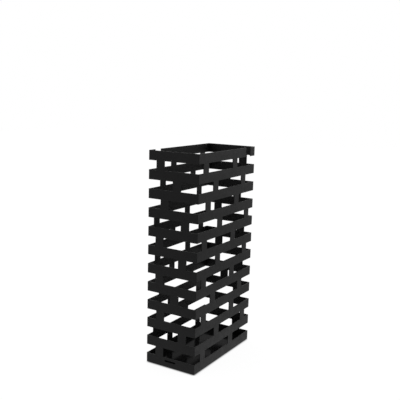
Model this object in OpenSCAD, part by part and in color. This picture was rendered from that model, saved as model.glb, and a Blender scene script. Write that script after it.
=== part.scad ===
// Free-standing umbrella stand: welded steel bands held apart by staggered spacers.
// The origin is the middle of the footprint, on the floor. X runs along the long side, Z is up.

/* [Frame] */
// Outside width of the frame
frame_w = 300; // [220:5:400]
// Outside depth of the frame
frame_d = 152; // [120:1:250]
// Number of bands, from the rim down to the floor
band_count = 12; // [6:1:16]
// Height of each band
band_h = 25.5; // [20:0.5:35]
// Open height between two bands
gap_h = 24.5; // [15:0.5:40]
// Thickness of the steel strip that bands and spacers are cut from
strip_t = 2; // [1:0.1:3]
// Radius that the welded corners are ground to, outside
corner_r = 1; // [0.5:0.1:3]

/* [Spacers] */
// Width of each spacer
spacer_w = 25; // [16:1:30]
// Place of the spacers in each row from the rim down, in percent of a bay
stagger = [24, 57.5, 33.5, 75, 24, 71, 24.5, 56.5, 27.5, 73.5, 27]; // [20:0.5:80]

/* [Rim] */
// Length of the rim's short return, from the outside of the corner to its free end
return_len = 26; // [18:1:36]
// Width of the strap slot between the return and the other half of the rim
slot_w = 26; // [16:1:32]

/* [Slot in the lowest band] */
// Length of the slot in the middle of one short side
side_slot_len = 34; // [20:1:50]
// Height of that slot
side_slot_h = 5; // [3:0.5:6]
// Height of its middle above the band's lower edge
side_slot_rise = 16; // [10:0.5:16]

/* [Base] */
// Thickness of the base plate
plate_t = 1.5; // [1:0.1:3]
// Size of the clipped corners of the base plate
plate_clip = 4; // [3:0.5:8]
// Width of a foot pad where it meets the base plate
pad_d = 20; // [14:1:28]
// Height of a foot pad
pad_h = 2; // [1:0.5:6]
// How much narrower a foot pad is at the floor
pad_taper = 2; // [0:0.5:6]
// Distance from the frame's outside faces to the middle of a foot pad
pad_inset = 20; // [16:1:40]

/* [Drip tray] */
// Height of the drip tray
tray_h = 16; // [12:1:22]
// Wall thickness of the drip tray
tray_wall = 1.6; // [1.2:0.1:2.5]
// Width of the flat lip round the drip tray
tray_lip = 3; // [2:0.5:5]
// Thickness of that lip
lip_t = 1.8; // [1.2:0.1:2.5]
// Lean of the drip tray's walls, in degrees
tray_draft = 4; // [0:1:10]
// Inside radius between the floor and the walls of the drip tray
tray_fillet = 3; // [1:0.5:5]
// Radius of the flat floor's corners, inside that fillet
tray_corner = 4; // [1:0.5:12]
// Gap between the lip and the frame, all round
tray_gap = 1; // [0.5:0.1:3]

/* [Hidden] */
$fn = 48;

// Bays are the stretches of wall that hold one spacer per row: two on a long side, one on a short side
bay_w = frame_w / 2;

// Bands and rows of spacers are numbered from the rim down
function two_digits(i) = str(i < 10 ? "0" : "", i);
function band_name(i) = str("band_", two_digits(i));
function row_name(i) = str("spacers_", two_digits(i));
function band_z(i) = pad_h + (band_count - i) * (band_h + gap_h);
function row_z(i) = band_z(i) - gap_h;
function bay_share(i) = stagger[(i - 1) % len(stagger)] / 100;

// Space inside the frame
inner_w = frame_w - 2 * strip_t;
inner_d = frame_d - 2 * strip_t;

// Plan of the rim's two halves
slot_x = frame_w / 2 - return_len - slot_w;
return_x = frame_w / 2 - return_len;

// Section of the drip tray's wall, as distances out from the corner of its flat floor
lean = tan(tray_draft);
outer_fillet = tray_fillet + tray_wall;
wall_top_r = outer_fillet + lean * (tray_h - outer_fillet);
lip_r = wall_top_r + tray_lip;
tray_z = pad_h + plate_t;
floor_w = inner_w - 2 * (tray_gap + lip_r + tray_corner);
floor_d = inner_d - 2 * (tray_gap + lip_r + tray_corner);

function arc(centre, r, from, to, steps = 6) =
    [for (k = [0 : steps]) let (a = from + (to - from) * k / steps) centre + r * [cos(a), sin(a)]];

module rounded_rect(w, d, r) {
    square([w - 2 * r, d], center = true);
    square([w, d - 2 * r], center = true);
    for (x = [-1, 1], y = [-1, 1])
        translate([x * (w / 2 - r), y * (d / 2 - r)]) circle(r);
}

module band_plan() {
    difference() {
        rounded_rect(frame_w, frame_d, corner_r);
        square([inner_w, inner_d], center = true);
    }
}

module steel() color([0.15, 0.15, 0.16]) children();

// A closed band, welded at its corners
module band(i) {
    steel() translate([0, 0, band_z(i)]) linear_extrude(band_h) band_plan();
}

// The lowest band has a slot with round ends through the middle of one short side
module bottom_band() {
    difference() {
        band(band_count);
        translate([-frame_w / 2, 0, band_z(band_count) + side_slot_rise]) rotate([90, 0, 90])
            linear_extrude(4 * strip_t, center = true) side_slot_outline();
    }
}

module side_slot_outline() {
    square([side_slot_len - side_slot_h, side_slot_h], center = true);
    for (side = [-1, 1]) translate([side * (side_slot_len - side_slot_h) / 2, 0]) circle(side_slot_h / 2);
}

// Half of the rim: one long leg, one short side and a return round the next corner.
// Each free end stands clear of the other half and leaves a slot for an umbrella's wrist strap.
module top_band_half() {
    steel() translate([0, 0, band_z(1)]) linear_extrude(band_h) intersection() {
        band_plan();
        union() {
            translate([-frame_w, -frame_d]) square([frame_w + slot_x, frame_d]);
            translate([-frame_w, 0]) square([frame_w - return_x, frame_d]);
        }
    }
}

module top_band_front() top_band_half();
module top_band_rear() rotate([0, 0, 180]) top_band_half();

// A spacer standing in the wall that runs along X through the given point
module spacer(x) {
    translate([x - spacer_w / 2, -frame_d / 2, 0]) cube([spacer_w, strip_t, gap_h]);
}

// Spacers of one half of the frame: one on the short side and two on the long side
module spacer_half_row(share) {
    translate([-frame_w / 2, frame_d * (0.5 - share) - spacer_w / 2, 0]) cube([strip_t, spacer_w, gap_h]);
    spacer(bay_w * (share - 1));
    spacer(bay_w * share);
}

module spacer_row(i) {
    steel() translate([0, 0, row_z(i)]) for (turn = [0, 180])
        rotate([0, 0, turn]) spacer_half_row(bay_share(i));
}

// Flat plate welded inside the lowest band, with corners clipped clear of the band's own welds
module base_plate() {
    steel() translate([0, 0, pad_h]) linear_extrude(plate_t) difference() {
        square([inner_w, inner_d], center = true);
        for (x = [-1, 1], y = [-1, 1])
            translate([x * inner_w / 2, y * inner_d / 2]) rotate(45)
                square(plate_clip * sqrt(2), center = true);
    }
}

// Section through the tray's wall, from its floor's edge at 0 to the lip, with the corner radius inside it
module tray_section() {
    polygon(concat(
        [[0, 0]],
        arc([tray_corner, outer_fillet], outer_fillet, -90, -tray_draft),
        [[tray_corner + wall_top_r, tray_h - lip_t],
         [tray_corner + lip_r, tray_h - lip_t],
         [tray_corner + lip_r, tray_h],
         [tray_corner + wall_top_r - tray_wall, tray_h]],
        arc([tray_corner, outer_fillet], tray_fillet, -tray_draft, -90),
        [[0, tray_wall]]));
}

module tray_side(length) {
    rotate([90, 0, 90]) linear_extrude(length, center = true) tray_section();
}

// Moulded tray that lies loose on the base plate and lifts out through the rim
module drip_tray() {
    color([0.12, 0.12, 0.13]) translate([0, 0, tray_z]) {
        linear_extrude(tray_wall) square([floor_w, floor_d], center = true);
        for (turn = [0, 180]) rotate([0, 0, turn]) {
            translate([0, floor_d / 2, 0]) tray_side(floor_w);
            translate([floor_w / 2, 0, 0]) rotate([0, 0, -90]) tray_side(floor_d);
            translate([floor_w / 2, floor_d / 2, 0]) rotate_extrude(angle = 90) tray_section();
            translate([-floor_w / 2, floor_d / 2, 0]) rotate([0, 0, 90]) rotate_extrude(angle = 90)
                tray_section();
        }
    }
}

module foot_pads() {
    color([0.08, 0.08, 0.08]) for (x = [-1, 1], y = [-1, 1])
        translate([x * (frame_w / 2 - pad_inset), y * (frame_d / 2 - pad_inset), 0])
            cylinder(h = pad_h, d1 = pad_d - pad_taper, d2 = pad_d);
}

top_band_front();
top_band_rear();
for (i = [2 : band_count - 1]) band(i);
bottom_band();
for (i = [1 : band_count - 1]) spacer_row(i);
base_plate();
drip_tray();
foot_pads();
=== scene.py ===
from math import radians

import bpy
from mathutils import Matrix, Vector

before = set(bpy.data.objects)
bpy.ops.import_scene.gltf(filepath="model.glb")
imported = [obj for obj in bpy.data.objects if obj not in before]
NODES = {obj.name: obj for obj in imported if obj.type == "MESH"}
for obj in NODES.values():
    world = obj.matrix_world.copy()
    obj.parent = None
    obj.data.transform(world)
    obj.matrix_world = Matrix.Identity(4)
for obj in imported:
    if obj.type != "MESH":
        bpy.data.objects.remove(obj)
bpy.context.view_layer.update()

# Umbrella stand in powder-coated strip. Metres, +Z up, the front is -Y, the origin is on the floor.

WHITE = (1, 1, 1, 1)
UP = Vector((0, 0, 1))

# ---------------------------------------------------------------- view
CAMERA_PLACE = Vector((-1.46175, -0.88157, 0.73315))
CAMERA_HEADING = 58.603     # degrees from +Y towards +X
CAMERA_PITCH = -9.913       # degrees above the horizon
CAMERA_ROLL = 1.446         # degrees, right-hand side up
CAMERA_LENS = 56.89         # mm
SENSOR_WIDTH = 36           # mm
SIGHT = 50                  # how far the camera sees

# ---------------------------------------------------------------- stage and light
FLOOR_SIDE = 14.0
FLOOR_ALBEDO = (0.80, 0.80, 0.80, 1)
FLOOR_SHADED = (0.15, 0.15, 0.15, 1)    # the part of the white floor that takes the lamps' shadow
FLOOR_GLOW = 0.94                       # the rest of its white, with a painted contact shadow where the stand touches
PAINTED_SHADOW_GLOW = 0.12                      # what that painted shadow leaves of it
CONTACT_REACH = 0.007                   # how far out it goes
PAINTED_SHADOW_SAMPLES = 16                     # rays that feel for it
LIGHT_POOL_CENTRE = (-0.45, 0.15, 0)         # shiny surfaces see a painted pool of light on the floor round this place
NEAR_FLOOR = 0.35                       # up to here
FAR_FLOOR = 1.2                         # and dimmer painted light from here on
FAR_FLOOR_LIGHT = 0.55
WORLD_LIGHT = 0.5                       # what the room gives, away from the lamps
CARD_ALBEDO = (0.02, 0.02, 0.02, 1)
LAMPS_LOOK_AT = Vector((0, 0, 0.28))    # the middle of the stand


def new_material(name):
    """An empty node material, and its tree's nodes and links."""
    material = bpy.data.materials.new(name)
    material.use_nodes = True
    material.node_tree.nodes.clear()
    return material, material.node_tree.nodes, material.node_tree.links


def either(nodes, links, *sockets):
    """1 where any of these light path flags is 1."""
    total = sockets[0]
    for socket in sockets[1:]:
        node = nodes.new("ShaderNodeMath")
        node.operation = "MAXIMUM"
        links.new(total, node.inputs[0])
        links.new(socket, node.inputs[1])
        total = node.outputs[0]
    return total


def map_range(nodes, links, value, start, end, low, high):
    """Value, taken from start..end to low..high and held there."""
    node = nodes.new("ShaderNodeMapRange")
    links.new(value, node.inputs["Value"])
    node.inputs["From Min"].default_value = start
    node.inputs["From Max"].default_value = end
    node.inputs["To Min"].default_value = low
    node.inputs["To Max"].default_value = high
    return node.outputs["Result"]


def place_camera():
    camera = bpy.data.objects.new("camera", bpy.data.cameras.new("camera"))
    bpy.context.scene.collection.objects.link(camera)
    camera.data.sensor_width = SENSOR_WIDTH
    camera.data.lens = CAMERA_LENS
    camera.data.clip_end = SIGHT
    turn = Matrix.Rotation(radians(-CAMERA_HEADING), 4, "Z")
    tilt = Matrix.Rotation(radians(90 + CAMERA_PITCH), 4, "X")
    roll = Matrix.Rotation(radians(CAMERA_ROLL), 4, "Z")
    camera.matrix_world = Matrix.Translation(CAMERA_PLACE) @ turn @ tilt @ roll
    bpy.context.scene.camera = camera


def floor_seen(nodes, links):
    """What the camera sees: white, with a tight painted shadow line where the stand meets the floor.
    """
    # Ambient occlusion paints a contact shadow into the floor's glow; the diffuse part below takes
    # the lamps' real shadow.
    painted_shadow = nodes.new("ShaderNodeAmbientOcclusion")
    painted_shadow.samples = PAINTED_SHADOW_SAMPLES
    painted_shadow.inputs["Distance"].default_value = CONTACT_REACH
    glow = nodes.new("ShaderNodeEmission")
    glow.inputs["Color"].default_value = WHITE
    light = map_range(nodes, links, painted_shadow.outputs["AO"], start=0.15, end=0.9,
                      low=PAINTED_SHADOW_GLOW, high=FLOOR_GLOW)
    links.new(light, glow.inputs["Strength"])
    shaded = nodes.new("ShaderNodeBsdfDiffuse")
    shaded.inputs["Color"].default_value = FLOOR_SHADED
    both = nodes.new("ShaderNodeAddShader")
    links.new(glow.outputs[0], both.inputs[0])
    links.new(shaded.outputs[0], both.inputs[1])
    return both.outputs[0]


def floor_mirrored(nodes, links):
    """What shiny surfaces see: a painted pool of light, white round the stand, dimmer further off."""
    place = nodes.new("ShaderNodeNewGeometry")
    distance = nodes.new("ShaderNodeVectorMath")
    distance.operation = "DISTANCE"
    distance.inputs[1].default_value = LIGHT_POOL_CENTRE
    links.new(place.outputs["Position"], distance.inputs[0])
    # Emission that falls off with distance paints a pool of light, which shows only in reflections.
    glow = nodes.new("ShaderNodeEmission")
    glow.inputs["Color"].default_value = WHITE
    light = map_range(nodes, links, distance.outputs["Value"], start=NEAR_FLOOR, end=FAR_FLOOR,
                      low=1, high=FAR_FLOOR_LIGHT)
    links.new(light, glow.inputs["Strength"])
    return glow.outputs[0]


def floor_material():
    """One look for the camera, one for shiny surfaces, and matt white for all other light."""
    material, nodes, links = new_material("floor")
    path = nodes.new("ShaderNodeLightPath")
    matt = nodes.new("ShaderNodeBsdfDiffuse")
    matt.inputs["Color"].default_value = FLOOR_ALBEDO
    for_others = nodes.new("ShaderNodeMixShader")
    shiny = either(nodes, links, path.outputs["Is Glossy Ray"], path.outputs["Is Transmission Ray"])
    links.new(shiny, for_others.inputs[0])
    links.new(matt.outputs[0], for_others.inputs[1])
    links.new(floor_mirrored(nodes, links), for_others.inputs[2])
    final = nodes.new("ShaderNodeMixShader")
    links.new(path.outputs["Is Camera Ray"], final.inputs[0])
    links.new(for_others.outputs[0], final.inputs[1])
    links.new(floor_seen(nodes, links), final.inputs[2])
    output = nodes.new("ShaderNodeOutputMaterial")
    links.new(final.outputs[0], output.inputs["Surface"])
    return material


def sheet_object(name, corners, material):
    """One flat four-cornered face that belongs to the stage."""
    mesh = bpy.data.meshes.new(name)
    mesh.from_pydata(corners, [], [(0, 1, 2, 3)])
    mesh.materials.append(material)
    sheet = bpy.data.objects.new(name, mesh)
    bpy.context.scene.collection.objects.link(sheet)
    return sheet


def make_floor():
    half = FLOOR_SIDE / 2
    corners = [(-half, -half, 0), (half, -half, 0), (half, half, 0), (-half, half, 0)]
    sheet_object("floor", corners, floor_material())


def make_world():
    """White where the camera or a shiny surface looks, and a plain soft light for the rest."""
    world = bpy.data.worlds.new("studio")
    bpy.context.scene.world = world
    world.use_nodes = True
    nodes, links = world.node_tree.nodes, world.node_tree.links
    nodes.clear()
    path = nodes.new("ShaderNodeLightPath")
    light = nodes.new("ShaderNodeBackground")
    light.inputs["Color"].default_value = WHITE
    light.inputs["Strength"].default_value = WORLD_LIGHT
    backdrop = nodes.new("ShaderNodeBackground")
    backdrop.inputs["Color"].default_value = WHITE
    backdrop.inputs["Strength"].default_value = 1
    flags = ("Is Camera Ray", "Is Glossy Ray", "Is Transmission Ray")
    seen = either(nodes, links, *[path.outputs[flag] for flag in flags])
    mix = nodes.new("ShaderNodeMixShader")
    links.new(seen, mix.inputs[0])
    links.new(light.outputs[0], mix.inputs[1])
    links.new(backdrop.outputs[0], mix.inputs[2])
    output = nodes.new("ShaderNodeOutputWorld")
    links.new(mix.outputs[0], output.inputs["Surface"])


def make_dark_card(distance, width, low, high):
    """The dark end of the studio, behind the photographer, which the near corner mirrors."""
    material, nodes, links = new_material("dark_card")
    matt = nodes.new("ShaderNodeBsdfDiffuse")
    matt.inputs["Color"].default_value = CARD_ALBEDO
    output = nodes.new("ShaderNodeOutputMaterial")
    links.new(matt.outputs[0], output.inputs["Surface"])
    away = Matrix.Rotation(radians(-CAMERA_HEADING), 3, "Z") @ Vector((0, -1, 0))
    along = Vector((away.y, -away.x, 0)) * width / 2
    foot = away * distance + UP * low
    rise = UP * (high - low)
    corners = [foot - along, foot + along, foot + along + rise, foot - along + rise]
    card = sheet_object("dark_card", corners, material)
    card.visible_camera = False


def softbox(name, heading, elevation, distance, side, strength):
    """A square lamp that looks at the middle of the stand. Heading is from -Y towards +X."""
    out = Matrix.Rotation(radians(heading), 3, "Z") @ Vector((0, -1, 0))
    out = Matrix.Rotation(radians(elevation), 3, out.cross(UP)) @ out
    data = bpy.data.lights.new(name, "AREA")
    data.shape = "SQUARE"
    data.size = side
    data.energy = strength
    lamp = bpy.data.objects.new(name, data)
    lamp.location = LAMPS_LOOK_AT + out * distance
    lamp.rotation_euler = (-out).to_track_quat("-Z", "Y").to_euler()
    bpy.context.scene.collection.objects.link(lamp)


# ---------------------------------------------------------------- materials
EDGE_SAMPLES = 6            # rays that feel for an edge


def principled(name):
    material, nodes, links = new_material(name)
    shader = nodes.new("ShaderNodeBsdfPrincipled")
    output = nodes.new("ShaderNodeOutputMaterial")
    links.new(shader.outputs[0], output.inputs["Surface"])
    return material, nodes, links, shader


def noise(nodes, links, scale, detail):
    """Noise in the piece's own coordinates. Scale is in bumps per metre."""
    place = nodes.new("ShaderNodeTexCoord")
    node = nodes.new("ShaderNodeTexNoise")
    links.new(place.outputs["Object"], node.inputs["Vector"])
    node.inputs["Scale"].default_value = scale
    node.inputs["Detail"].default_value = detail
    return node.outputs["Fac"]


def tint(nodes, links, value, dark, light):
    """A grey between two levels, by value."""
    mix = nodes.new("ShaderNodeMix")
    mix.data_type = "RGBA"
    links.new(value, mix.inputs["Factor"])
    mix.inputs["A"].default_value = (*dark, 1)
    mix.inputs["B"].default_value = (*light, 1)
    return mix.outputs["Result"]


def bump(nodes, links, height, strength, depth, normal=None):
    """The surface's normal, tilted by height on top of the given one."""
    node = nodes.new("ShaderNodeBump")
    node.inputs["Strength"].default_value = strength
    node.inputs["Distance"].default_value = depth
    links.new(height, node.inputs["Height"])
    if normal:
        links.new(normal, node.inputs["Normal"])
    return node.outputs["Normal"]


def soft_edges(nodes, radius):
    """A normal that rounds off every edge of the piece, as a coat or a mould does."""
    node = nodes.new("ShaderNodeBevel")
    node.samples = EDGE_SAMPLES
    node.inputs["Radius"].default_value = radius
    return node.outputs["Normal"]


def powder_coat():
    """Satin black coat: soft orange peel, fine grain, slightly uneven sheen."""
    material, nodes, links, shader = principled("black_powder_coat")
    patches = map_range(nodes, links, noise(nodes, links, scale=70, detail=3),
                        start=0.35, end=0.65, low=0, high=1)
    specks = noise(nodes, links, scale=420, detail=2)
    colour = tint(nodes, links, specks, dark=(0.0050, 0.0050, 0.0052), light=(0.0085, 0.0085, 0.0088))
    links.new(colour, shader.inputs["Base Color"])
    roughness = map_range(nodes, links, patches, start=0, end=1, low=0.44, high=0.52)
    links.new(roughness, shader.inputs["Roughness"])
    shader.inputs["Specular IOR Level"].default_value = 0.165
    edges = soft_edges(nodes, radius=0.0005)
    peel = bump(nodes, links, noise(nodes, links, scale=330, detail=1),
                strength=0.45, depth=0.0003, normal=edges)
    grain = bump(nodes, links, noise(nodes, links, scale=1500, detail=2),
                 strength=0.6, depth=0.0001, normal=peel)
    links.new(grain, shader.inputs["Normal"])
    return material


def tray_plastic():
    """Smooth moulded plastic with a faint wave in its gloss."""
    material, nodes, links, shader = principled("tray_plastic")
    cloud = noise(nodes, links, scale=40, detail=2)
    colour = tint(nodes, links, cloud, dark=(0.0085, 0.0085, 0.0088), light=(0.0115, 0.0115, 0.0118))
    links.new(colour, shader.inputs["Base Color"])
    roughness = map_range(nodes, links, cloud, start=0.3, end=0.7, low=0.10, high=0.16)
    links.new(roughness, shader.inputs["Roughness"])
    shader.inputs["Specular IOR Level"].default_value = 0.014
    edges = soft_edges(nodes, radius=0.0006)
    wave = bump(nodes, links, noise(nodes, links, scale=90, detail=1),
                strength=0.1, depth=0.0002, normal=edges)
    links.new(wave, shader.inputs["Normal"])
    return material


def pad_rubber():
    """Dull rubber with a fine open grain."""
    material, nodes, links, shader = principled("pad_rubber")
    grain = noise(nodes, links, scale=900, detail=3)
    colour = tint(nodes, links, grain, dark=(0.009, 0.009, 0.009), light=(0.015, 0.015, 0.0148))
    links.new(colour, shader.inputs["Base Color"])
    roughness = map_range(nodes, links, grain, start=0.3, end=0.7, low=0.78, high=0.92)
    links.new(roughness, shader.inputs["Roughness"])
    shader.inputs["Specular IOR Level"].default_value = 0.2
    links.new(bump(nodes, links, grain, strength=0.4, depth=0.0002), shader.inputs["Normal"])
    return material


def dress(material, names):
    """Puts the material in every slot of these nodes."""
    for name in names:
        for slot in NODES[name].material_slots:
            slot.material = material


# ---------------------------------------------------------------- the scene
place_camera()
make_floor()
make_world()
make_dark_card(distance=2.3, width=3.6, low=0.15, high=3.2)
softbox("softbox_right", heading=30, elevation=25, distance=2.2, side=1.4, strength=6)
softbox("softbox_left", heading=-120, elevation=25, distance=2.2, side=1.4, strength=4)
softbox("softbox_back", heading=150, elevation=35, distance=2.4, side=1.4, strength=6)

plastic = ["drip_tray"]
rubber = ["foot_pads"]
steel = [name for name in NODES if name not in plastic + rubber]
dress(powder_coat(), steel)
dress(tray_plastic(), plastic)
dress(pad_rubber(), rubber)

bpy.context.scene.view_settings.view_transform = "Standard"
